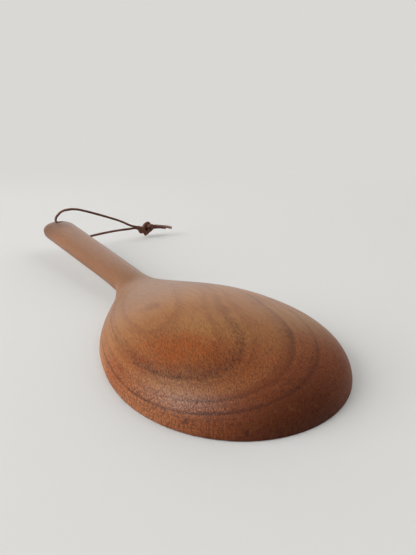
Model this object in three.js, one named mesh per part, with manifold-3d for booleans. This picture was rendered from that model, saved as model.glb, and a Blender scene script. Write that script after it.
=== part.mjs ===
// Carved wooden serving spoon with a leather hanging thong, lying face down on the rim of its bowl.
// Millimetres, +Z up, +X towards the tip of the bowl.
// The origin is on the table, under the middle of the wood.

import * as THREE from 'three';
import { mergeVertices } from 'three/addons/utils/BufferGeometryUtils.js';
import Module from 'manifold-3d';

const wasm = await Module();
wasm.setup();
const { smoothstep, clamp, lerp } = THREE.MathUtils;

// Bowl, measured from its widest place
const BOWL_WIDTH = 80;
const BOWL_TIP_LENGTH = 42.9;
const BOWL_NECK_LENGTH = 70.3;
const BOWL_HEIGHT = 18.5;
const CROWN_SETBACK = 11.1;
const FLAT_RIM_REACH = 56.7;

// Hollow of the bowl
const WALL = 5.2;
const RIM_LAND = 3.2;
const NECK_LAND = 19.5;

// Handle, from the neck to its round end
const HANDLE_LENGTH = 104.6;
const NECK_WIDTH = 14.9;
const END_WIDTH = 20.3;
const NECK_THICKNESS = 10;
const END_THICKNESS = 11.6;
const NECK_LIFT = 1.8;
const END_LIFT = 9;
const SHOULDER_LENGTH = 37;
const NECK_RUN = 28.3;
const CROWN_RUN = 54.2;
const OVAL_REACH = 59.6;
const OVAL_RUN = 10;

// Roundness of the curves: 2 is an ellipse, and more is squarer
const TIP_ROUNDNESS = 2.04;
const HEEL_ROUNDNESS = 1.93;
const HEEL_FLARE = 0.88;
const SHOULDER_ROUNDNESS = 2.18;
const BACK_ROUNDNESS = 2.03;
const NOSE_ROUNDNESS = 2.26;
const CROWN_FALL = 1.1;
const HANDLE_ROUNDNESS = 2.3;
const END_ROUNDNESS = 1.8;
const HOLLOW_ROUNDNESS = 2.1;

// Hanging hole through the end of the handle
const HOLE_DIAMETER = 5.2;
const HOLE_FROM_END = 7.8;
const HOLE_EASE = 0.7;

// Leather thong: the loop points across the handle, and the knot stands on the table
const CORD_DIAMETER = 1.5;
const JOIN_GAP = 0.3;
const LOOP_REACH = 63;
const LOOP_SETBACK = 2;
const KNOT_CLEARANCE = 0.4;
const HOLE_CLEARANCE = 0.4;

// Steps of the faceted surfaces
const BACK_STEPS = 36;
const FACE_STEPS = 14;
const TIP_STEPS = 18;
const HEEL_STEPS = 24;
const SHAFT_STEPS = 18;
const END_STEPS = 8;
const HOLLOW_STEPS = 28;
const HOLE_SIDES = 24;
const CORD_SIDES = 8;
const CORD_STEP = 2 * CORD_DIAMETER;

const WOOD_LENGTH = BOWL_TIP_LENGTH + BOWL_NECK_LENGTH + HANDLE_LENGTH;
const TIP_X = WOOD_LENGTH / 2;
const WIDEST_X = TIP_X - BOWL_TIP_LENGTH;
const HOLE_X = HOLE_FROM_END - WOOD_LENGTH / 2;

const wood = new THREE.MeshStandardMaterial({ color: 0x9a6240, roughness: 0.5, metalness: 0 });

function leather() {
  return new THREE.MeshStandardMaterial({ color: 0x4a2c21, roughness: 0.7, metalness: 0 });
}

// Fall of a rounded curve from 1 at the start to 0 at the end of its run.
function quarterRound(share, roundness) {
  return (1 - clamp(share, 0, 1) ** roundness) ** (1 / roundness);
}

function signedPower(value, power) {
  return Math.sign(value) * Math.abs(value) ** power;
}

// Share of the handle behind a place: 0 up to where the neck turns oval and 1 at the round end.
function handleShare(behind) {
  return clamp((behind - OVAL_REACH) / (BOWL_NECK_LENGTH + HANDLE_LENGTH - OVAL_REACH), 0, 1);
}

// How full the section is near the round end: 0 at the very end and 1 one half width before it.
function endFullness(behind, roundness) {
  const left = BOWL_NECK_LENGTH + HANDLE_LENGTH - behind;
  return quarterRound(1 - left / (END_WIDTH / 2), roundness);
}

// Half of the outline's width. Places are counted backwards from the widest place, so the tip is negative.
function halfWidth(behind) {
  const bowlHalf = BOWL_WIDTH / 2;
  if (behind <= 0) {
    return bowlHalf * quarterRound(-behind / BOWL_TIP_LENGTH, TIP_ROUNDNESS);
  }
  const heelShare = clamp(behind / BOWL_NECK_LENGTH, 0, 1);
  const heel = bowlHalf * (1 - heelShare ** HEEL_ROUNDNESS) ** HEEL_FLARE;
  const shaft = lerp(NECK_WIDTH, END_WIDTH, handleShare(behind)) / 2;
  const neck = shaft * smoothstep(behind, 0, SHOULDER_LENGTH);
  const joined = (heel ** SHOULDER_ROUNDNESS + neck ** SHOULDER_ROUNDNESS) ** (1 / SHOULDER_ROUNDNESS);
  return joined * endFullness(behind, 2);
}

// Lift of the face side off the table: the bowl's rim is flat, and the handle rises from it.
function faceHeight(behind) {
  const lift = lerp(NECK_LIFT, END_LIFT, handleShare(behind));
  const thickness = lerp(NECK_THICKNESS, END_THICKNESS, handleShare(behind));
  const risen = smoothstep(behind, FLAT_RIM_REACH, FLAT_RIM_REACH + NECK_RUN);
  const rounding = thickness / 2 * (1 - endFullness(behind, END_ROUNDNESS));
  return lift * risen + rounding;
}

// Height of the back: the dome of the bowl, then the top of the handle as it lies.
function backHeight(behind) {
  if (behind <= CROWN_SETBACK) {
    const run = BOWL_TIP_LENGTH + CROWN_SETBACK;
    return BOWL_HEIGHT * quarterRound((CROWN_SETBACK - behind) / run, NOSE_ROUNDNESS);
  }
  const lift = lerp(NECK_LIFT, END_LIFT, handleShare(behind));
  const thickness = lerp(NECK_THICKNESS, END_THICKNESS, handleShare(behind));
  const rounding = thickness / 2 * (1 - endFullness(behind, END_ROUNDNESS));
  const fallen = smoothstep(((behind - CROWN_SETBACK) / CROWN_RUN) ** CROWN_FALL, 0, 1);
  return lerp(BOWL_HEIGHT, lift + thickness - rounding, fallen);
}

// Angle of a ring's point. The back has finer steps than the face, since the bowl's face is flat.
function ringAngle(step) {
  if (step < BACK_STEPS) {
    return Math.PI * step / BACK_STEPS;
  }
  return Math.PI * (1 + (step - BACK_STEPS) / FACE_STEPS);
}

// One cross section: a flat-bottomed dome in the bowl that turns into an oval in the handle.
function woodRing(behind) {
  const half = halfWidth(behind);
  const low = faceHeight(behind);
  const high = backHeight(behind);
  const oval = smoothstep(behind, OVAL_REACH, OVAL_REACH + OVAL_RUN);
  const ring = [];
  for (let step = 0; step < BACK_STEPS + FACE_STEPS; step++) {
    const angle = ringAngle(step);
    const across = Math.cos(angle);
    const up = Math.sin(angle);
    const domeY = half * signedPower(across, 2 / BACK_ROUNDNESS);
    const domeZ = low + (high - low) * Math.max(up, 0) ** (2 / BACK_ROUNDNESS);
    const ovalY = half * signedPower(across, 2 / HANDLE_ROUNDNESS);
    const ovalZ = (low + high) / 2 + (high - low) / 2 * signedPower(up, 2 / HANDLE_ROUNDNESS);
    ring.push(new THREE.Vector3(WIDEST_X - behind, lerp(domeY, ovalY, oval), lerp(domeZ, ovalZ, oval)));
  }
  return ring;
}

// Places of the cross sections, from the handle's end to the bowl's tip, closer together on the round ends.
function woodPlaces() {
  const places = [];
  const end = BOWL_NECK_LENGTH + HANDLE_LENGTH;
  const endRun = END_WIDTH / 2;
  for (let step = 1; step <= END_STEPS; step++) {
    places.push(end - endRun * (1 - Math.cos(Math.PI / 2 * step / END_STEPS)));
  }
  for (let step = 1; step <= SHAFT_STEPS; step++) {
    places.push(lerp(end - endRun, BOWL_NECK_LENGTH, step / SHAFT_STEPS));
  }
  for (let step = 1; step <= HEEL_STEPS; step++) {
    places.push(BOWL_NECK_LENGTH * (1 - step / HEEL_STEPS));
  }
  for (let step = 1; step < TIP_STEPS; step++) {
    places.push(-BOWL_TIP_LENGTH * Math.sin(Math.PI / 2 * step / TIP_STEPS));
  }
  return places;
}

// A closed skin over rings of points that run towards +X, with a point at each end.
function skin(firstPoint, rings, lastPoint) {
  const count = rings[0].length;
  const points = [firstPoint, ...rings.flat(), lastPoint];
  const last = points.length - 1;
  const at = (ring, step) => 1 + ring * count + step % count;
  const index = [];
  for (let step = 0; step < count; step++) {
    index.push(0, at(0, step + 1), at(0, step));
    for (let ring = 0; ring + 1 < rings.length; ring++) {
      index.push(at(ring, step), at(ring, step + 1), at(ring + 1, step));
      index.push(at(ring, step + 1), at(ring + 1, step + 1), at(ring + 1, step));
    }
    index.push(last, at(rings.length - 1, step), at(rings.length - 1, step + 1));
  }
  const geometry = new THREE.BufferGeometry().setFromPoints(points);
  geometry.setIndex(index);
  return geometry;
}

// A closed geometry as a solid that can be joined and cut.
function solid(geometry) {
  geometry.deleteAttribute('normal');
  geometry.deleteAttribute('uv');
  const merged = mergeVertices(geometry);
  const corners = merged.index.array;
  const triangles = [];
  for (let first = 0; first < corners.length; first += 3) {
    const [a, b, c] = corners.slice(first, first + 3);
    if (a !== b && b !== c && c !== a) {
      triangles.push(a, b, c);
    }
  }
  return new wasm.Manifold(new wasm.Mesh({
    numProp: 3,
    vertProperties: new Float32Array(merged.attributes.position.array),
    triVerts: new Uint32Array(triangles),
  }));
}

// A solid back as a geometry for a mesh.
function surface(body) {
  const mesh = body.getMesh();
  const geometry = new THREE.BufferGeometry();
  geometry.setAttribute('position', new THREE.BufferAttribute(mesh.vertProperties, 3));
  geometry.setIndex(new THREE.BufferAttribute(mesh.triVerts, 1));
  geometry.computeVertexNormals();
  return geometry;
}

// The carved blank before the hollow and the hole are cut.
function blank() {
  const end = BOWL_NECK_LENGTH + HANDLE_LENGTH;
  const endMiddle = (faceHeight(end) + backHeight(end)) / 2;
  const endPoint = new THREE.Vector3(WIDEST_X - end, 0, endMiddle);
  const tipPoint = new THREE.Vector3(TIP_X, 0, 0);
  return solid(skin(endPoint, woodPlaces().map(woodRing), tipPoint));
}

// The hollow, as the body that is cut out of the blank. It is as deep below the rim as above it.
function hollow() {
  const half = BOWL_WIDTH / 2 - RIM_LAND;
  const tipRun = BOWL_TIP_LENGTH - RIM_LAND;
  const heelRun = BOWL_NECK_LENGTH - NECK_LAND;
  const depth = BOWL_HEIGHT - WALL;
  const rings = [];
  for (let place = 1; place < HOLLOW_STEPS; place++) {
    const turn = Math.PI * place / HOLLOW_STEPS;
    const behind = lerp(-tipRun, heelRun, (1 + Math.cos(turn)) / 2);
    const run = behind < 0 ? tipRun : heelRun;
    const roundness = behind < 0 ? TIP_ROUNDNESS : HEEL_ROUNDNESS;
    const sideY = half * quarterRound(Math.abs(behind) / run, roundness);
    const fromCrown = behind - CROWN_SETBACK;
    const crownRun = fromCrown < 0 ? tipRun + CROWN_SETBACK : heelRun - CROWN_SETBACK;
    const topZ = depth * quarterRound(Math.abs(fromCrown) / crownRun, HOLLOW_ROUNDNESS);
    const ring = [];
    for (let step = 0; step < BACK_STEPS + FACE_STEPS; step++) {
      const angle = ringAngle(step);
      const y = sideY * signedPower(Math.cos(angle), 2 / HOLLOW_ROUNDNESS);
      const z = topZ * signedPower(Math.sin(angle), 2 / HOLLOW_ROUNDNESS);
      ring.push(new THREE.Vector3(WIDEST_X - behind, y, z));
    }
    rings.push(ring);
  }
  const heelPoint = new THREE.Vector3(WIDEST_X - heelRun, 0, 0);
  const tipPoint = new THREE.Vector3(WIDEST_X + tipRun, 0, 0);
  return solid(skin(heelPoint, rings, tipPoint));
}

const HOLE_BEHIND = BOWL_NECK_LENGTH + HANDLE_LENGTH - HOLE_FROM_END;
const HOLE_LOW = faceHeight(HOLE_BEHIND);
const HOLE_HIGH = backHeight(HOLE_BEHIND);
const HOLE_MIDDLE = (HOLE_LOW + HOLE_HIGH) / 2;

// The hanging hole, as the body that is cut out: a round bore with eased mouths.
function hangingHole() {
  const radius = HOLE_DIAMETER / 2;
  const mouth = radius + HOLE_EASE;
  const outside = mouth + HOLE_EASE;
  const profile = [
    new THREE.Vector2(0, HOLE_LOW - HOLE_EASE),
    new THREE.Vector2(outside, HOLE_LOW - HOLE_EASE),
    new THREE.Vector2(mouth, HOLE_LOW),
    new THREE.Vector2(radius, HOLE_LOW + HOLE_EASE),
    new THREE.Vector2(radius, HOLE_HIGH - HOLE_EASE),
    new THREE.Vector2(mouth, HOLE_HIGH),
    new THREE.Vector2(outside, HOLE_HIGH + HOLE_EASE),
    new THREE.Vector2(0, HOLE_HIGH + HOLE_EASE),
  ];
  const bore = new THREE.LatheGeometry(profile, HOLE_SIDES);
  bore.rotateX(Math.PI / 2);
  bore.translate(HOLE_X, 0, 0);
  return solid(bore);
}

// A round cord along a smooth route.
function cord(route) {
  const section = new THREE.Shape();
  for (let side = 0; side < CORD_SIDES; side++) {
    const angle = 2 * Math.PI * side / CORD_SIDES;
    const x = CORD_DIAMETER / 2 * Math.cos(angle);
    const y = CORD_DIAMETER / 2 * Math.sin(angle);
    if (side === 0) {
      section.moveTo(x, y);
    } else {
      section.lineTo(x, y);
    }
  }
  const path = new THREE.CatmullRomCurve3(route, false, 'centripetal');
  const steps = Math.ceil(path.getLength() / CORD_STEP);
  return new THREE.ExtrudeGeometry(section, { steps, bevelEnabled: false, extrudePath: path });
}

// Overhand knot in both strands: a trefoil in the plane of the loop, cut open at one lobe.
// The points of its two leads are counted in cord diameters from the knot's middle: across, along and up.
const KNOT_RADIUS = 2 * CORD_DIAMETER;
const KNOT_LOBE = 0.95 * CORD_DIAMETER;
const KNOT_DEPTH = 1.1 * CORD_DIAMETER;
const KNOT_ROLL = THREE.MathUtils.degToRad(220);
const KNOT_OPENING = 0.4;
const KNOT_STEPS = 26;
const STRAND_OFFSET = 0.45 * CORD_DIAMETER;
const STRAND_SPREAD = 0.7 * CORD_DIAMETER;
const LEAD_IN = [
  [1.2, -5.2, 1.4],
  [1.6, -4, 1],
  [2.1, -2.6, -0.2],
  [2.1, -1.2, -1.7],
];
const LEAD_OUT = [
  [-1.3, -2.1, -2],
  [-1.7, -0.8, -3.1],
  [-2.1, 1.2, -3.1],
  [-2.1, 3.2, -1.6],
  [-1.2, 4.8, 0.6],
];

// A point of the trefoil, rolled in its plane so that its open lobe lies low on the side of the loop.
function trefoil(turn) {
  const radius = KNOT_RADIUS + KNOT_LOBE * Math.cos(3 * turn);
  const along = radius * Math.sin(2 * turn + KNOT_ROLL);
  const up = radius * Math.cos(2 * turn + KNOT_ROLL);
  return new THREE.Vector3(-KNOT_DEPTH * Math.sin(3 * turn), along, up);
}

// Middle line of one strand of the knot, on the side of the pair that is given as 1 or -1.
function knotRoute(side) {
  const lead = ([across, along, up]) => new THREE.Vector3(across, along, up).multiplyScalar(CORD_DIAMETER);
  const offset = new THREE.Vector3(side * STRAND_OFFSET, 0, 0);
  const spread = new THREE.Vector3(side * STRAND_SPREAD, 0, 0);
  const route = LEAD_IN.map((point) => lead(point).add(spread));
  for (let step = 0; step <= KNOT_STEPS; step++) {
    const turn = lerp(2 * Math.PI - KNOT_OPENING, KNOT_OPENING, step / KNOT_STEPS);
    route.push(trefoil(turn).add(offset));
  }
  route.push(...LEAD_OUT.map((point) => lead(point).add(spread)));
  return route;
}

// The knot's middle, at the height where its lowest strand just clears the table.
function knotMiddle() {
  const lowest = Math.min(...knotRoute(1).map((point) => point.z));
  return new THREE.Vector3(-LOOP_SETBACK, LOOP_REACH, KNOT_CLEARANCE + CORD_DIAMETER / 2 - lowest);
}

const KNOT_MIDDLE = knotMiddle();

// Where a cord meets an end of the knot: the two points line it up with the strand that it goes on from.
function meeting(end, inner) {
  const away = end.clone().sub(inner).normalize();
  const face = away.clone().multiplyScalar(JOIN_GAP).add(end).add(KNOT_MIDDLE);
  const straight = away.clone().multiplyScalar(CORD_DIAMETER).add(face);
  return { face, straight };
}

// Room for a cord to lean in the hole, and how far the hole's middle is from its mouths.
const HOLE_SLACK = (HOLE_DIAMETER - CORD_DIAMETER) / 2 - HOLE_CLEARANCE;
const HOLE_HALF = (HOLE_HIGH - HOLE_LOW) / 2;

// A leg from the hole's middle to the knot. The points in the hole are across and along in shares of the
// slack, and up in shares of the half depth. The points outside are across, the share of the way to the
// knot, and the rise above the straight line to the knot.
function leg(side, inHole, outside) {
  const [knotStart, knotNext] = knotRoute(side);
  const { face, straight } = meeting(knotStart, knotNext);
  const first = inHole.map(([across, along, up]) => {
    return new THREE.Vector3(across * HOLE_SLACK, along * HOLE_SLACK, HOLE_MIDDLE + up * HOLE_HALF);
  });
  const start = new THREE.Vector3(0, 0, HOLE_MIDDLE + side * JOIN_GAP / 2);
  const rest = outside.map(([across, share, above]) => {
    return new THREE.Vector3(across, share * face.y, lerp(HOLE_MIDDLE, face.z, share) + above);
  });
  return cord([start, ...first, ...rest, straight, face]);
}

const UPPER_LEG_IN_HOLE = [
  [-0.35, -0.28, 0.5],
  [-0.76, -0.55, 1],
  [-0.9, -0.48, 1.38],
];
const UPPER_LEG_OUTSIDE = [
  [-1.4, 0.005, 9.5],
  [-1.4, 0.055, 11.5],
  [-1.4, 0.137, 12.9],
  [-1.4, 0.224, 13.1],
  [-1.4, 0.328, 12],
  [-1.4, 0.474, 10],
  [-1.2, 0.647, 7.3],
  [-0.7, 0.793, 4.7],
  [0.1, 0.911, 1.8],
];

const LOWER_LEG_IN_HOLE = [
  [0, 0.14, -0.58],
  [-0.07, 0.9, -1.12],
];
const LOWER_LEG_OUTSIDE = [
  [-0.3, 0.073, -7.8],
  [-0.6, 0.146, -7.8],
  [-1.1, 0.292, -5.5],
  [-1.4, 0.456, -3.5],
  [-1.5, 0.602, -2.7],
  [-1.5, 0.747, -1.8],
  [-1.4, 0.893, -0.9],
];

// A free end past the knot, with its points counted from where it leaves the knot.
function tail(side, points) {
  const [knotLast, knotEnd] = knotRoute(side).slice(-2);
  const { face, straight } = meeting(knotEnd, knotLast);
  const route = points.map(([across, along, above]) => new THREE.Vector3(across, along, above).add(face));
  return cord([face, straight, ...route]);
}

const LONG_TAIL_ROUTE = [
  [2.8, 4, 0.9],
  [5.8, 7.2, 0.4],
  [9.8, 10.6, -0.7],
];

const SHORT_TAIL_ROUTE = [
  [2, 4, 0.8],
  [4.2, 7.6, 0.2],
];

// Assembly
function piece(name, geometry, material) {
  const mesh = new THREE.Mesh(geometry, material);
  mesh.name = name;
  return mesh;
}

// The knot's two strands, pressed into each other.
function knotBody() {
  return solid(cord(knotRoute(1))).add(solid(cord(knotRoute(-1))));
}

const spoon = new THREE.Group();
spoon.add(piece('spoon_body', surface(blank().subtract(hollow()).subtract(hangingHole())), wood));

const thong = new THREE.Group();
thong.position.set(HOLE_X, 0, 0);
thong.add(piece('thong_upper_leg', leg(1, UPPER_LEG_IN_HOLE, UPPER_LEG_OUTSIDE), leather()));
thong.add(piece('thong_lower_leg', leg(-1, LOWER_LEG_IN_HOLE, LOWER_LEG_OUTSIDE), leather()));
const knot = piece('thong_knot', surface(knotBody()), leather());
knot.position.copy(KNOT_MIDDLE);
thong.add(knot);
thong.add(piece('thong_long_tail', tail(1, LONG_TAIL_ROUTE), leather()));
thong.add(piece('thong_short_tail', tail(-1, SHORT_TAIL_ROUTE), leather()));
spoon.add(thong);

export default spoon;
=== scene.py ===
"""Carved wooden serving spoon with a leather thong, lying face down on a pale table."""
import math
from types import SimpleNamespace
from typing import NamedTuple

import bpy
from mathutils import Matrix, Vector


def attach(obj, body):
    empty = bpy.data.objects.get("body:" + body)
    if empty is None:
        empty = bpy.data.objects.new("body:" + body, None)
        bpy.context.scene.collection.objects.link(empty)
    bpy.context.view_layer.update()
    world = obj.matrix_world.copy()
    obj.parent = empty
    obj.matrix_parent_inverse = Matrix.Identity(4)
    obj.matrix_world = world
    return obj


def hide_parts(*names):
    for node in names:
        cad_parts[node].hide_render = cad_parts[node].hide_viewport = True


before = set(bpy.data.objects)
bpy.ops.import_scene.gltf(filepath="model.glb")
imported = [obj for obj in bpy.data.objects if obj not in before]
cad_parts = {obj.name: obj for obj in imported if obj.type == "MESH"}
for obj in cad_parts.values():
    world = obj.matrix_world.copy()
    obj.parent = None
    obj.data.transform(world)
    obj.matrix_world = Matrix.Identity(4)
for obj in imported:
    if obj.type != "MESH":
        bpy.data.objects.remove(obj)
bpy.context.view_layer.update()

MM = 0.001


class Pattern(NamedTuple):
    """A noise pattern: its features in a millimetre, their detail, and how it is drawn out and turned."""
    scale: float
    detail: float = 2
    roughness: float = 0.5
    lengths: tuple = None
    turn: float = 0


class Wash(NamedTuple):
    """A colour laid over others: where it sets in, where it is full, how much it covers there, its tone."""
    start: float
    full: float
    share: float
    colour: tuple


class Line(NamedTuple):
    """A growth line, in millimetres: the height of its layer, and over how much it fades below and above."""
    height: float
    below: float
    above: float


class Speck(NamedTuple):
    """A dark speck in the wood: its place and reach in millimetres, and how dark it is."""
    place: tuple
    reach: float
    depth: float


class Lamp(NamedTuple):
    """A round lamp: its place, what it points at and its width in metres, its power in watts, its colour."""
    place: tuple
    target: tuple
    size: float
    power: float
    colour: tuple


class Value:
    """A number that runs through a material's nodes; sums and products of it add Math nodes."""

    def __init__(self, finish, socket):
        self.finish = finish
        self.socket = socket

    def maths(self, operation, *numbers):
        sockets = dict(enumerate(numbers))
        return self.finish.node("ShaderNodeMath", {"operation": operation}, sockets)

    def __add__(self, other):
        return self.maths("ADD", self, other)

    def __sub__(self, other):
        return self.maths("SUBTRACT", self, other)

    def __rsub__(self, other):
        return self.maths("SUBTRACT", other, self)

    def __mul__(self, other):
        return self.maths("MULTIPLY", self, other)

    def __truediv__(self, other):
        return self.maths("DIVIDE", self, other)

    __radd__ = __add__
    __rmul__ = __mul__

    def fraction(self):
        return self.maths("FRACT", self)

    def highest(self, other):
        return self.maths("MAXIMUM", self, other)

    def softly_highest(self, other, blend):
        """The higher of two numbers, with a smooth change where they come within the blend of each other."""
        return self.maths("SMOOTH_MAX", self, other, blend)

    def ease(self, start, full):
        """0 up to start and 1 past full, with a smooth rise between; a falling one has start above full."""
        settings = {"interpolation_type": "SMOOTHSTEP"}
        sockets = {"Value": self, "From Min": min(start, full), "From Max": max(start, full)}
        rise = self.finish.node("ShaderNodeMapRange", settings, sockets)
        return rise if start < full else 1 - rise

    def span(self, low, high):
        """The first number where this is 0 and the second where it is 1."""
        return low + (high - low) * self

    def swing(self, reach):
        """Noise from 0 to 1 as a swing to either side of 0, so wide in all."""
        return (self - 0.5) * reach


class Finish:
    """The nodes of a material or of the room, and the one way they are made."""

    def __init__(self, owner):
        self.owner = owner
        owner.use_nodes = True
        self.tree = owner.node_tree
        self.tree.nodes.clear()

    def node(self, kind, settings=None, sockets=None, out=0):
        """Adds a node, sets its settings, then its sockets' values or links, and gives one of its outputs."""
        made = self.tree.nodes.new(kind)
        for name, value in (settings or {}).items():
            setattr(made, name, value)
        for name, value in (sockets or {}).items():
            if isinstance(value, Value):
                self.tree.links.new(value.socket, made.inputs[name])
            else:
                made.inputs[name].default_value = value
        return Value(self, made.outputs[out]) if made.outputs else None

    def place(self):
        """Object coordinates in millimetres, as a vector."""
        spot = self.node("ShaderNodeTexCoord", out="Object")
        return self.node("ShaderNodeVectorMath", {"operation": "SCALE"}, {0: spot, "Scale": 1 / MM})

    def parts(self, vector):
        """The three numbers of a vector."""
        return [self.node("ShaderNodeSeparateXYZ", None, {0: vector}, out) for out in range(3)]

    def measure(self, operation, *vectors):
        """A number that vectors give, such as a length or a distance."""
        return self.node("ShaderNodeVectorMath", {"operation": operation}, dict(enumerate(vectors)), "Value")

    def stretched(self, vector, lengths, turn=0, middle=(0, 0, 0)):
        """Coordinates for a pattern drawn out along three axes and turned in plan, both about its middle."""
        sockets = {"Vector": vector, "Location": middle, "Rotation": (0, 0, turn), "Scale": lengths}
        return self.node("ShaderNodeMapping", {"vector_type": "TEXTURE"}, sockets)

    def noise(self, vector, pattern):
        """Even noise from 0 to 1."""
        if pattern.lengths:
            vector = self.stretched(vector, pattern.lengths, pattern.turn)
        sockets = {"Vector": vector, "Scale": pattern.scale}
        sockets.update({"Detail": pattern.detail, "Roughness": pattern.roughness})
        return self.node("ShaderNodeTexNoise", None, sockets, "Fac")

    def mix(self, share, first, second):
        settings = {"data_type": "RGBA", "clamp_factor": True}
        return self.node("ShaderNodeMix", settings, {0: share, 6: first, 7: second}, 2)

    def wash(self, under, value, wash, mask=None):
        """Lays a wash over a colour where a value calls for it, only as far as the mask lets it."""
        share = value.ease(wash.start, wash.full) * wash.share
        return self.mix(share * mask if mask else share, under, wash.colour)

    def bump(self, height, distance, strength):
        sockets = {"Height": height, "Distance": distance * MM, "Strength": strength}
        return self.node("ShaderNodeBump", None, sockets)

    def seen(self):
        """1 for what the camera sees straight or through glass, and 1 for what it sees in gloss."""
        straight, gloss, glass = [
            self.node("ShaderNodeLightPath", out="Is %s Ray" % way)
            for way in ("Camera", "Glossy", "Transmission")
        ]
        return straight.highest(glass), gloss

    def principled(self, sockets):
        return self.node("ShaderNodeBsdfPrincipled", None, sockets)

    def show(self, shader, kind="ShaderNodeOutputMaterial"):
        """Ends the nodes with a shader and gives the finished material or world."""
        self.node(kind, None, {"Surface": shader})
        return self.owner


def light_of(part):
    """One part of a colour as it looks, from 0 to 255, as light, by the curve that screens use."""
    share = part / 255
    return ((share + 0.055) / 1.055) ** 2.4 if share > 0.04045 else share / 12.92


def tone(red, green, blue):
    """A colour written as it looks, as the light that a shader takes."""
    return (light_of(red), light_of(green), light_of(blue), 1)


# Patterns in the wood
GRAIN_TURN = math.radians(-22)
WOOD_PATTERNS = {
    "streak": Pattern(1.3, 3, 0.6, (12, 1, 1)),
    "pores": Pattern(3, 2, 0.6, (9, 1, 1), GRAIN_TURN),
    "fine": Pattern(3.4, 1, 0.5, (8, 1, 1), GRAIN_TURN),
    "grit": Pattern(2.8, 2, 0.7, (3, 1, 1), GRAIN_TURN),
    "strokes": Pattern(2, 2, 0.6, (1, 1, 6)),
    "mottle": Pattern(0.45, 3, 0.6),
    "patch": Pattern(0.055),
    "blotch": Pattern(0.16, 3, 0.6, (2.5, 1, 1)),
    "wander": Pattern(0.06, 2, 0.5, (2, 1, 1)),
}

# Growth layers of the wood: a layer's height over the table falls away from the middle of the bowl
LAYER_X = 66
LAYER_NECK_X = 18
LAYER_NECK_BLEND = 20
LAYER_SLOPE_X = 0.01205
LAYER_SLOPE_Y = -0.08846
LAYER_BEND_X = 0.00342
LAYER_BEND_Y = 0.00477
LAYER_SPACING = 0.9
LAYER_WANDER = 0.4
LAYER_STREAKS = 0.4
LAYER_MOTTLE = 0.35

# Growth lines that stand out, at the heights of their layers
INNER_HEIGHT = 18.3
HALO_HEIGHT = 17.35
MIDDLE_HEIGHT = 16.58
OUTER_HEIGHT = 15.14
INNER_LINE = Line(INNER_HEIGHT, 0.2, 0.35)
INNER_BAND = Line(INNER_HEIGHT, 0.3, 0.7)
INNER_EDGE = Line(INNER_HEIGHT, 0.25, 0.3)
HALO_LINE = Line(HALO_HEIGHT, 0.6, 0.6)
MIDDLE_LINE = Line(MIDDLE_HEIGHT, 0.2, 0.4)
OUTER_LINE = Line(OUTER_HEIGHT, 0.25, 0.5)
OUTER_BAND = Line(OUTER_HEIGHT, 0.3, 1.3)

# How strong the lines are: from the first number to the second as a pattern or a side of the bowl sets in
LINE_STRENGTH = (0.5, 1)
INNER_FRONT = (0.55, 1)
INNER_NEAR = (1, 0.5)
MIDDLE_NEAR = (0.6, 1)
MIDDLE_ENDS = (0.45, 1)
OUTER_NEAR = (0.7, 1)
OUTER_FAR = (1, 0.55)
RING_FAR = (0.36, 0.2)

# How much of the wood each line covers, and its tone
HALO_STAIN = (0.24, tone(174, 116, 66))
MIDDLE_STAIN = (0.8, tone(84, 44, 30))
INNER_STAIN = (0.5, tone(82, 44, 32))
OUTER_STAIN = (0.8, tone(72, 36, 27))
RING_TONE = tone(108, 58, 37)

# Sides of the spoon, from where each sets in to where it is full, in millimetres along an axis or a way
BOWL_X = (-5, 35)
HANDLE_X = (10, -20)
FRONT_Y = (6, -12)
NEAR_WAY = (0.77, -0.64)
NEAR_REACH = (42, 84)
WALL_Z = (11, 5)
BAND_Y = (-9, -21)
DASHES_X = (56, 68)
MIDDLE_X = (74, 90)
MIDDLE_Y = (-2, 10)
OUTER_Y = (-16, 0)
RING_Y = (-14, 8)
# Where the painted shade on the tip's end sets in and where it is full, towards the front side
TIP_SHADE_Y = (16, -4)

# Stretches of a pattern, from where it starts to count to where it counts in full
LINE_PATCHES = (0.3, 0.62)
RING_PART = (0.55, 1)
HEART_STREAKS = (0.6, 0.4)
HEART_BLOTCHES = (0.4, 0.6)
PORE_PART = (0.5, 0.62)

# Heart of the wood, a long reddish patch with a ragged edge
HEART = (75.5, -22.5, 0)
HEART_TURN = math.radians(40)
HEART_REACH = (38, 9.5, 60)
HEART_FADE = (1.2, 0.3)
HEART_RAGGED = 0.9
HEART_STREAK_SHARE = (0.8, 1)
HEART_BLOTCH_SHARE = (0.65, 1)
HEART_TONE = tone(153, 78, 32)

# Colours of the bowl, by a pattern or by millimetres along one axis
BOWL_TONE = tone(160, 110, 65)
BOWL_PATCHES = Wash(0.35, 0.65, 1, tone(153, 100, 56))
SHOULDER = Wash(58, 26, 0.9, tone(132, 95, 69))
FLANK = Wash(-20, -34, 0.8, tone(152, 102, 58))
WALL_SHARE = 0.6
WALL_TONE = tone(176, 103, 64)
# Painted highlight: a lighter band low on the bowl, where the rim's edge catches the window's light
RIM_PAINTED_HIGHLIGHT = Wash(4, 0.5, 0.55, tone(192, 128, 92))
TIP = Wash(80, 101, 0.9, tone(143, 72, 39))
# Painted shade: the end of the tip darkened on its front side, which turns away from the window's light
TIP_PAINTED_SHADE = Wash(96, 106, 0.8, tone(108, 54, 31))
MOTTLE = Wash(0.5, 0.8, 0.25, tone(164, 112, 70))
STREAKS = Wash(0.45, 0.8, 0.3, tone(114, 66, 41))

# Colours of the handle, in the same way
# The handle's grey-brown tone is partly the wood's own colour and partly painted sheen; its near side, where
# no sheen falls, is washed to a warmer tone
HANDLE_TONE_AND_SHEEN = tone(146, 107, 83)
HANDLE_SIDE_WITHOUT_SHEEN = Wash(-4, -8, 0.8, tone(138, 97, 70))
HANDLE_WARM = Wash(0.5, 0.66, 0.3, tone(152, 103, 70))
HANDLE_DULL = Wash(0.46, 0.32, 0.4, tone(128, 94, 75))
HANDLE_END = Wash(-78, -98, 0.9, tone(111, 79, 61))

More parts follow.
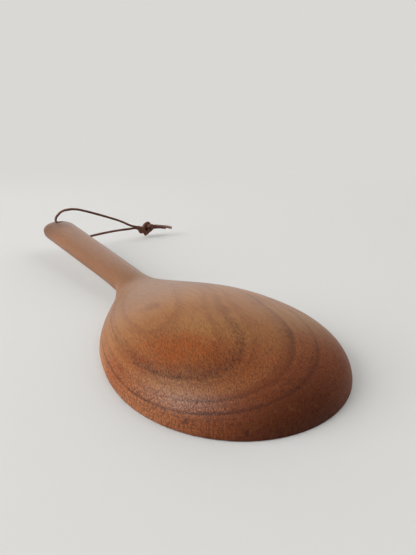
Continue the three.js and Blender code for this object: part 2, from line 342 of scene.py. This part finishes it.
# Grain: how thick it stands everywhere, and what the near side, the dark dashes and the heart add
GRIT_NEAR = (0.2, 0.7)
GRIT_TONE = tone(190, 128, 82)
FINE = Wash(0.47, 0.62, 1, tone(84, 46, 30))
FINE_EVERYWHERE = 0.06
FINE_NEAR = 0.38
FINE_DASHES = 0.25
PORES = Wash(*PORE_PART, 1, tone(68, 37, 27))
PORES_EVERYWHERE = 0.06
PORES_NEAR = 0.34
PORES_DASHES = 0.34
PORES_HEART = 0.14
STROKES = Wash(0.48, 0.62, 0.5, tone(78, 38, 26))

# Specks in the wood
SPECKS = (
    Speck((89.5, -32.6, 3.5), 1, 0.85),
    Speck((101.5, -22.1, 2.4), 1.1, 0.8),
    Speck((45, -16, 16.3), 4.5, 0.3),
)
SPECK_TONE = tone(72, 42, 31)
SPECK_FADE = (1.1, 0)
SPECK_GRIT = 1.6
SPECK_MOTTLE = 1

# Oiled surface of the wood
WOOD_ROUGHNESS = 0.32
STREAK_ROUGHNESS = 0.12
PORE_ROUGHNESS = 0.3
WOOD_SPECULAR = 0.12
WOOD_RELIEF = 0.1
WOOD_RELIEF_STRENGTH = 0.8


def layer_height(x, y, z, grain):
    """Height of the growth layer at a place, a little uneven; a layer has one height all over."""
    along = x.softly_highest(LAYER_NECK_X, LAYER_NECK_BLEND) - LAYER_X
    level = z + along * LAYER_SLOPE_X + y * LAYER_SLOPE_Y
    level = level + along * along * LAYER_BEND_X + y * y * LAYER_BEND_Y
    level = level + grain.wander.swing(LAYER_WANDER) + grain.streak.swing(LAYER_STREAKS)
    return level + grain.mottle.swing(LAYER_MOTTLE)


def growth_line(height, line):
    """1 on a growth line, fading out below and above it."""
    rise = height.ease(line.height - line.below, line.height)
    fall = height.ease(line.height + line.above, line.height)
    return rise * fall


def spoon_sides(x, y, z):
    """The bowl, its front and near sides and its near wall, each 1 where it is and 0 away from it."""
    along, across = NEAR_WAY
    near = (x * along + y * across).ease(*NEAR_REACH)
    return SimpleNamespace(
        bowl=x.ease(*BOWL_X),
        front=y.ease(*FRONT_Y),
        near=near,
        wall=z.ease(*WALL_Z) * near,
    )


def growth_figure(x, y, height, grain, sides):
    """The growth lines, each 1 where it is strongest, and the dark dashes along two of them."""
    near = sides.near
    strength = sides.bowl * grain.patch.ease(*LINE_PATCHES).span(*LINE_STRENGTH)
    band = growth_line(height, INNER_BAND) * y.ease(*BAND_Y)
    band = band.highest(growth_line(height, INNER_EDGE)) * sides.front
    inner = growth_line(height, INNER_LINE) * strength * near.span(*INNER_NEAR)
    inner = inner * sides.front.span(*INNER_FRONT)
    ends = x.ease(*MIDDLE_X).highest(y.ease(*MIDDLE_Y))
    middle = growth_line(height, MIDDLE_LINE) * strength * near.span(*MIDDLE_NEAR) * ends.span(*MIDDLE_ENDS)
    far = y.ease(*OUTER_Y)
    outer = growth_line(height, OUTER_LINE) * strength * near.span(*OUTER_NEAR) * far.span(*OUTER_FAR)
    dashes = (band * x.ease(*DASHES_X)).highest(growth_line(height, OUTER_BAND) * near)
    rings = (height / LAYER_SPACING).fraction().ease(*RING_PART) * sides.bowl
    return SimpleNamespace(
        inner=inner.highest(band * near),
        middle=middle,
        outer=outer,
        halo=growth_line(height, HALO_LINE) * near,
        rings=rings * y.ease(*RING_Y).span(*RING_FAR),
        dashes=dashes,
    )


def heart_patch(finish, spot, grain):
    """1 in the heart of the wood and 0 away from it."""
    away = finish.measure("LENGTH", finish.stretched(spot, HEART_REACH, HEART_TURN, HEART))
    heart = (away + grain.mottle.swing(HEART_RAGGED)).ease(*HEART_FADE)
    return heart * grain.streak.ease(*HEART_STREAKS).span(*HEART_STREAK_SHARE)


def handle_colour(finish, x, y, grain):
    # the handle's tone holds painted sheen; its near side is washed warmer, as where no sheen falls
    colour = finish.wash(HANDLE_TONE_AND_SHEEN, y, HANDLE_SIDE_WITHOUT_SHEEN)
    colour = finish.wash(colour, grain.blotch, HANDLE_WARM)
    colour = finish.wash(colour, grain.blotch, HANDLE_DULL)
    return finish.wash(colour, x, HANDLE_END)


def wood_colour(finish, spot, axes, grain, sides):
    """Colour of the wood, from its broad tones to its growth lines, its grain and its specks."""
    x, y, z = axes
    figure = growth_figure(x, y, layer_height(x, y, z, grain), grain, sides)
    heart = heart_patch(finish, spot, grain)

    colour = finish.wash(BOWL_TONE, grain.patch, BOWL_PATCHES)
    colour = finish.wash(colour, x, SHOULDER)
    colour = finish.mix(x.ease(*HANDLE_X), colour, handle_colour(finish, x, y, grain))
    colour = finish.wash(colour, y, FLANK)
    colour = finish.mix(sides.wall * WALL_SHARE, colour, WALL_TONE)
    # painted highlight along the rim's edge
    colour = finish.wash(colour, z, RIM_PAINTED_HIGHLIGHT)
    in_heart = heart * grain.blotch.ease(*HEART_BLOTCHES).span(*HEART_BLOTCH_SHARE)
    colour = finish.mix(in_heart, colour, HEART_TONE)
    colour = finish.wash(colour, x, TIP)
    # painted shade on the front of the tip's end
    colour = finish.wash(colour, x, TIP_PAINTED_SHADE, y.ease(*TIP_SHADE_Y))
    colour = finish.mix(figure.rings, colour, RING_TONE)
    colour = finish.wash(colour, grain.mottle, MOTTLE)
    colour = finish.wash(colour, grain.streak, STREAKS)

    stains = (HALO_STAIN, MIDDLE_STAIN, INNER_STAIN, OUTER_STAIN)
    for line, (share, stain) in zip((figure.halo, figure.middle, figure.inner, figure.outer), stains):
        colour = finish.mix(line * share, colour, stain)

    colour = finish.mix(grain.grit.swing(sides.near.span(*GRIT_NEAR)), colour, GRIT_TONE)
    crowd = FINE_EVERYWHERE + FINE_NEAR * sides.near + FINE_DASHES * figure.dashes
    colour = finish.wash(colour, grain.fine, FINE, crowd)
    crowd = PORES_EVERYWHERE + PORES_NEAR * sides.near + PORES_DASHES * figure.dashes + PORES_HEART * heart
    colour = finish.wash(colour, grain.pores, PORES, crowd)
    colour = finish.wash(colour, grain.strokes, STROKES, sides.wall)
    for speck in SPECKS:
        away = finish.measure("DISTANCE", spot, speck.place) / speck.reach
        ragged = away + grain.grit.swing(SPECK_GRIT) + grain.mottle.swing(SPECK_MOTTLE)
        colour = finish.mix(ragged.ease(*SPECK_FADE) * speck.depth, colour, SPECK_TONE)
    return colour


def wood_finish():
    finish = Finish(bpy.data.materials.new("oiled_wood"))
    spot = finish.place()
    noises = {name: finish.noise(spot, pattern) for name, pattern in WOOD_PATTERNS.items()}
    grain = SimpleNamespace(**noises)
    axes = finish.parts(spot)
    sides = spoon_sides(*axes)
    colour = wood_colour(finish, spot, axes, grain, sides)
    open_pores = grain.pores.ease(*PORE_PART) * sides.near
    roughness = WOOD_ROUGHNESS + STREAK_ROUGHNESS * grain.streak + PORE_ROUGHNESS * open_pores
    relief = finish.bump(grain.fine + grain.grit, WOOD_RELIEF, WOOD_RELIEF_STRENGTH)
    sockets = {"Base Color": colour, "Roughness": roughness, "Normal": relief}
    sockets["Specular IOR Level"] = WOOD_SPECULAR
    return finish.show(finish.principled(sockets))


# Leather of the thong
LEATHER_GRAIN = Pattern(3.5, 3, 0.6)
LEATHER_DRIFT = Pattern(0.25)
LEATHER_TONE = tone(112, 62, 43)
LEATHER_PALE = Wash(0.35, 0.7, 1, tone(134, 82, 58))
LEATHER_DARK = Wash(0.5, 0.75, 0.4, tone(70, 40, 30))
LEATHER_ROUGHNESS = (0.55, 0.75)
LEATHER_RELIEF = 0.08
LEATHER_RELIEF_STRENGTH = 0.5


def leather_finish():
    finish = Finish(bpy.data.materials.new("brown_leather"))
    spot = finish.place()
    grain = finish.noise(spot, LEATHER_GRAIN)
    colour = finish.wash(LEATHER_TONE, finish.noise(spot, LEATHER_DRIFT), LEATHER_PALE)
    colour = finish.wash(colour, grain, LEATHER_DARK)
    relief = finish.bump(grain, LEATHER_RELIEF, LEATHER_RELIEF_STRENGTH)
    sockets = {"Base Color": colour, "Roughness": grain.span(*LEATHER_ROUGHNESS), "Normal": relief}
    return finish.show(finish.principled(sockets))


# Edges of the spoon, with lengths in millimetres
EDGE_ROUND = 0.8
EDGE_STEPS = 3
SHARP_EDGE = math.radians(45)
SAME_POINT = 0.002
SLIVER = 0.03


def deselect():
    bpy.ops.object.select_all(action="DESELECT")


def activate(piece):
    deselect()
    piece.select_set(True)
    bpy.context.view_layer.objects.active = piece


def apply(piece, modifier):
    activate(piece)
    bpy.ops.object.modifier_apply(modifier=modifier.name)


def join_points(piece, reach, pair_triangles=False):
    """Joins points of a piece that lie within so many millimetres, and pairs its triangles where asked."""
    activate(piece)
    bpy.ops.object.mode_set(mode="EDIT")
    bpy.ops.mesh.select_all(action="SELECT")
    bpy.ops.mesh.remove_doubles(threshold=reach * MM)
    if pair_triangles:
        bpy.ops.mesh.tris_convert_to_quads()
    bpy.ops.object.mode_set(mode="OBJECT")


def carve_spoon():
    """The wooden body as one smooth piece, with the rim and the mouths of the hole rounded over."""
    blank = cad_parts["spoon_body"]
    piece = bpy.data.objects.new("carved_spoon", blank.data.copy())
    bpy.context.scene.collection.objects.link(piece)
    join_points(piece, SAME_POINT, pair_triangles=True)
    ease = piece.modifiers.new("ease", "BEVEL")
    ease.width = EDGE_ROUND * MM
    ease.segments = EDGE_STEPS
    ease.limit_method = "ANGLE"
    ease.angle_limit = SHARP_EDGE
    apply(piece, ease)
    join_points(piece, SLIVER)
    smooth = piece.modifiers.new("smooth", "SUBSURF")
    smooth.levels = 1
    smooth.render_levels = 1
    apply(piece, smooth)
    bpy.ops.object.shade_smooth()
    return piece


# Hanging hole in the handle, in millimetres
HOLE_X = -101.1
HOLE_LOW = 8.72
HOLE_HIGH = 19.77
HOLE_MIDDLE = (HOLE_LOW + HOLE_HIGH) / 2
HOLE_HALF = (HOLE_HIGH - HOLE_LOW) / 2
HOLE_SLACK = 1.45

# Cord of the thong: its thickness in millimetres, how finely it is made, how uneven and how swollen it is
CORD = 1.5
CORD_ROUNDNESS = 5
CORD_STEPS = 8
CORD_UNEVEN = 0.04
CORD_WAVE = 2.3
KNOT_SWELL = 1.35
TAIL_SWELL = 1.25

# Knot, in millimetres across, along the loop and up: its middle from under the hole, the rest from its middle
KNOT_MIDDLE = Vector((-2, 63.4, 5.8))
KNOT_RADIUS = 3.4
KNOT_SLANT = 0.5
KNOT_SQUASH = 0.78
KNOT_LOBE = 1.25
KNOT_DEPTH = 1.55
KNOT_ROLL = math.radians(220)
KNOT_OPENING = 0.4
KNOT_STEPS = 26
STRAND_OFFSET = 0.62
LEAD_IN = ((1.8, -7.8, 2.1), (2.4, -6, 1.5), (3.1, -4.3, 0), (3.1, -2.5, -2.2))
LEAD_OUT = ((-2.4, -2.8, -2), (-3.1, -0.9, -1.6), (-3.1, 1.5, -0.4), (-2.7, 4, 0.1), (-1.8, 7.2, 0.2))

# Legs in the hole: across and along in slacks of the hole, and up in halves of its depth from its middle
UPPER_LEG_IN_HOLE = ((-0.22, -0.52, 0.5), (-0.45, -0.88, 1), (-0.6, -0.56, 1.4))
LOWER_LEG_IN_HOLE = ((0, 0.14, -0.58), (-0.07, 0.9, -1.12))

# Legs outside: millimetres across, share of the way to the knot, and millimetres over the straight line there
UPPER_LEG_OUTSIDE = (
    (-1.1, 0.017, 9.7), (-1.35, 0.06, 11.5), (-1.4, 0.137, 12.7), (-1.4, 0.224, 12.9), (-1.4, 0.328, 11.8),
    (-1.4, 0.474, 9.6), (-1.2, 0.647, 6.8), (-0.7, 0.793, 4), (0.1, 0.911, 1.1),
)
LOWER_LEG_OUTSIDE = (
    (-0.3, 0.073, -7.8), (-0.6, 0.146, -7.8), (-0.85, 0.213, -6.9), (-1.1, 0.292, -5.8),
    (-1.27, 0.374, -4.8), (-1.4, 0.456, -3.9), (-1.47, 0.53, -3.1), (-1.5, 0.602, -2.4),
    (-1.5, 0.747, -1.2), (-1.4, 0.893, -0.3),
)

# Tails, in millimetres from the end of the knot: across, along and up
LONG_TAIL = ((2.8, 4, -0.1), (5.8, 7.2, -0.4), (9.2, 10.2, -1))
SHORT_TAIL = ((1.6, 3.4, 0.1), (4.8, 7.9, -0.3))

# Sides of the knot: the upper strand and the lower one
UPPER = 1
LOWER = -1


def on_loop(across, along, up):
    """A point of the thong in metres in the part's frame."""
    return Vector((HOLE_X + across, along, up)) * MM


def trefoil(turn, side):
    """A point of the knot's curve; the upper strand runs on its inside and the lower one on its outside."""
    radius = KNOT_RADIUS - side * STRAND_OFFSET + KNOT_LOBE * math.cos(3 * turn)
    along = radius * math.sin(2 * turn + KNOT_ROLL)
    up = radius * math.cos(2 * turn + KNOT_ROLL) * KNOT_SQUASH
    return Vector((-KNOT_DEPTH * math.sin(3 * turn), along + KNOT_SLANT * up, up))


def knot_route(side):
    """Middle line of one strand of the knot, from the leg to the tail, in the loop's millimetres."""
    offset = Vector((0, 0, side * STRAND_OFFSET))
    route = [Vector(point) + offset for point in LEAD_IN]
    for step in range(KNOT_STEPS + 1):
        turn = 2 * math.pi - KNOT_OPENING + (2 * KNOT_OPENING - 2 * math.pi) * step / KNOT_STEPS
        route.append(trefoil(turn, side))
    route += [Vector(point) + offset for point in LEAD_OUT]
    return [point + KNOT_MIDDLE for point in route]


def straight_on(before, end):
    """A point one cord's thickness past the end of a strand, which keeps the next stretch in line with it."""
    return end + (end - before).normalized() * CORD


def leg_route(side, in_hole, outside):
    """Middle line of a leg, from the middle of the hole to the knot's strand."""
    end, inner = knot_route(side)[:2]
    route = [Vector((0, 0, HOLE_MIDDLE))]
    for across, along, up in in_hole:
        route.append(Vector((across * HOLE_SLACK, along * HOLE_SLACK, HOLE_MIDDLE + up * HOLE_HALF)))
    for across, share, above in outside:
        chord = HOLE_MIDDLE + (end.z - HOLE_MIDDLE) * share
        route.append(Vector((across, share * end.y, chord + above)))
    return route + [straight_on(inner, end), end]


def tail_route(side, points):
    """Middle line of a tail, from the end of the knot's strand to the free end."""
    inner, end = knot_route(side)[-2:]
    return [end, straight_on(inner, end)] + [end + Vector(point) for point in points]


def lay_cord(name, route, swell=1):
    """A round leather cord along a route, a little uneven in its thickness as cut leather is."""
    curve = bpy.data.curves.new(name, "CURVE")
    curve.dimensions = "3D"
    curve.bevel_depth = CORD / 2 * swell * MM
    curve.bevel_resolution = CORD_ROUNDNESS
    curve.resolution_u = CORD_STEPS
    curve.use_fill_caps = True
    spline = curve.splines.new("BEZIER")
    spline.bezier_points.add(len(route) - 1)
    for step, (point, spot) in enumerate(zip(spline.bezier_points, route)):
        point.co = on_loop(*spot)
        point.handle_left_type = "AUTO"
        point.handle_right_type = "AUTO"
        point.radius = 1 + CORD_UNEVEN * math.sin(CORD_WAVE * step)
    piece = bpy.data.objects.new(name, curve)
    bpy.context.scene.collection.objects.link(piece)
    return piece


def route_length(route):
    """Length of a route in metres."""
    return sum((after - before).length for before, after in zip(route, route[1:])) * MM


def lay_thong(leather):
    """The thong: two legs from the hole, an overhand knot in both strands and two tails."""
    upper = leg_route(UPPER, UPPER_LEG_IN_HOLE, UPPER_LEG_OUTSIDE)
    lower = leg_route(LOWER, LOWER_LEG_IN_HOLE, LOWER_LEG_OUTSIDE)
    upper_leg = lay_cord("upper_leg", upper)
    lower_leg = lay_cord("lower_leg", lower)
    strands = [
        lay_cord("knot_strand_upper", knot_route(UPPER), KNOT_SWELL),
        lay_cord("knot_strand_lower", knot_route(LOWER), KNOT_SWELL),
    ]
    long_tail = lay_cord("long_tail", tail_route(UPPER, LONG_TAIL), TAIL_SWELL)
    short_tail = lay_cord("short_tail", tail_route(LOWER, SHORT_TAIL), TAIL_SWELL)
    for piece in (upper_leg, lower_leg, *strands, long_tail, short_tail):
        piece.data.materials.append(leather)
        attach(piece, "thong")
    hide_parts("thong_upper_leg")
    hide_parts("thong_lower_leg")
    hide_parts("thong_knot")
    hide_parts("thong_long_tail")
    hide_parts("thong_short_tail")
    on_loop(0, 0, HOLE_HIGH)
    route_length(upper)
    on_loop(0, 0, HOLE_LOW)
    route_length(lower)


# Camera, at the photograph's place
CAMERA_PLACE = Vector((165.08, -82.54, 75.30)) * MM
CAMERA_TARGET = Vector((-3.8, 45.19, 0)) * MM
CAMERA_LENS = 27.24
CAMERA_SENSOR = 36
CAMERA_NEAREST = 5 * MM

# Lamps
DAYLIGHT = (1, 0.985, 0.96)
SPOON_MIDDLE = (0.02, 0, 0)
WINDOW = Lamp((-0.87, -1.76, 0.97), SPOON_MIDDLE, 2.2, 75, DAYLIGHT)
SKYLIGHT = Lamp((0.21, 1.58, 1.37), SPOON_MIDDLE, 2.6, 22, DAYLIGHT)
GLINT = Lamp((0.01, -0.94, 0.93), (0.087, -0.03, 0.008), 0.34, 36, (1, 0.99, 0.97))

# Table: its size and drop in metres, and the rest as shares or in millimetres
TABLE_SIZE = 20
TABLE_DROP = 0.0001
TABLE_TONE = tone(219, 220, 220)
TABLE_BOUNCE = tone(150, 148, 144)
TABLE_ROUGHNESS = 0.8
TABLE_SPECULAR = 0.2
SHADOW_LIFT = 0.3
CONTACT_REACH = 3
CONTACT_FADE = (0.3, 0.9)
FAR_TABLE = (200, 700)

# Room: how it looks, the dim light that it gives, and a bright glow with the way to it, its width and top
PALE = tone(218, 216, 212)
ROOM_LIGHT = tone(92, 91, 92)
GLOW_LIGHT = (1.95, 1.88, 1.78, 1)
GLOW_WAY = (-0.88, 0.47, 0)
GLOW_WIDTH = (0.55, 0.95)
GLOW_TOP = (0.64, 0.4)


def facing(place, target):
    """Turn of a camera or lamp that points it from its place at a target."""
    return (Vector(target) - Vector(place)).to_track_quat("-Z", "Y").to_euler()


def add_camera():
    deselect()
    bpy.ops.object.camera_add(location=CAMERA_PLACE)
    camera = bpy.context.object
    camera.rotation_euler = facing(CAMERA_PLACE, CAMERA_TARGET)
    camera.data.lens = CAMERA_LENS
    camera.data.sensor_fit = "AUTO"
    camera.data.sensor_width = CAMERA_SENSOR
    camera.data.clip_start = CAMERA_NEAREST
    bpy.context.scene.camera = camera


def add_lamp(name, kind):
    deselect()
    bpy.ops.object.light_add(type="AREA", location=kind.place)
    lamp = bpy.context.object
    lamp.name = name
    lamp.rotation_euler = facing(kind.place, kind.target)
    lamp.data.shape = "DISK"
    lamp.data.size = kind.size
    lamp.data.energy = kind.power
    lamp.data.color = kind.colour
    return lamp


def table_finish():
    """A pale board with soft shadows that runs out, far from the spoon, into the pale room behind it."""
    finish = Finish(bpy.data.materials.new("pale_table"))
    straight, gloss = finish.seen()
    colour = finish.mix(straight.highest(gloss), TABLE_BOUNCE, TABLE_TONE)
    sockets = {"Base Color": colour, "Roughness": TABLE_ROUGHNESS, "Specular IOR Level": TABLE_SPECULAR}
    board = finish.principled(sockets)
    room = finish.node("ShaderNodeEmission", None, {"Color": PALE})
    open_air = finish.node("ShaderNodeAmbientOcclusion", None, {"Distance": CONTACT_REACH * MM}, "AO")
    far = finish.measure("LENGTH", finish.place()).ease(*FAR_TABLE)
    lift = (open_air.ease(*CONTACT_FADE) * SHADOW_LIFT + (1 - SHADOW_LIFT) * far) * straight
    return finish.show(finish.node("ShaderNodeMixShader", None, {0: lift, 1: board, 2: room}))


def lay_table():
    """The table, just under the rim of the spoon."""
    deselect()
    bpy.ops.mesh.primitive_plane_add(size=TABLE_SIZE, location=(0, 0, -TABLE_DROP))
    table = bpy.context.object
    table.name = "table"
    table.data.materials.append(table_finish())


def room_finish():
    """A room that looks pale and gives little light, apart from a bright glow behind the spoon."""
    finish = Finish(bpy.data.worlds.new("pale_room"))
    straight = finish.seen()[0]
    way = finish.node("ShaderNodeTexCoord", out="Generated")
    up = finish.parts(way)[2]
    glow = finish.measure("DOT_PRODUCT", way, GLOW_WAY).ease(*GLOW_WIDTH) * up.ease(*GLOW_TOP)
    colour = finish.mix(straight, finish.mix(glow, ROOM_LIGHT, GLOW_LIGHT), PALE)
    return finish.show(finish.node("ShaderNodeBackground", None, {"Color": colour}), "ShaderNodeOutputWorld")


def light_room():
    """The room's own light, a large window, a skylight, and a small window that shows only in gloss."""
    bpy.context.scene.world = room_finish()
    add_lamp("window", WINDOW).visible_glossy = False
    add_lamp("skylight", SKYLIGHT).visible_glossy = False
    add_lamp("glint", GLINT).visible_diffuse = False


spoon = carve_spoon()
spoon.data.materials.clear()
spoon.data.materials.append(wood_finish())
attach(spoon, "spoon")
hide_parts("spoon_body")
lay_thong(leather_finish())
add_camera()
lay_table()
light_room()
bpy.context.scene.view_settings.view_transform = "Standard"
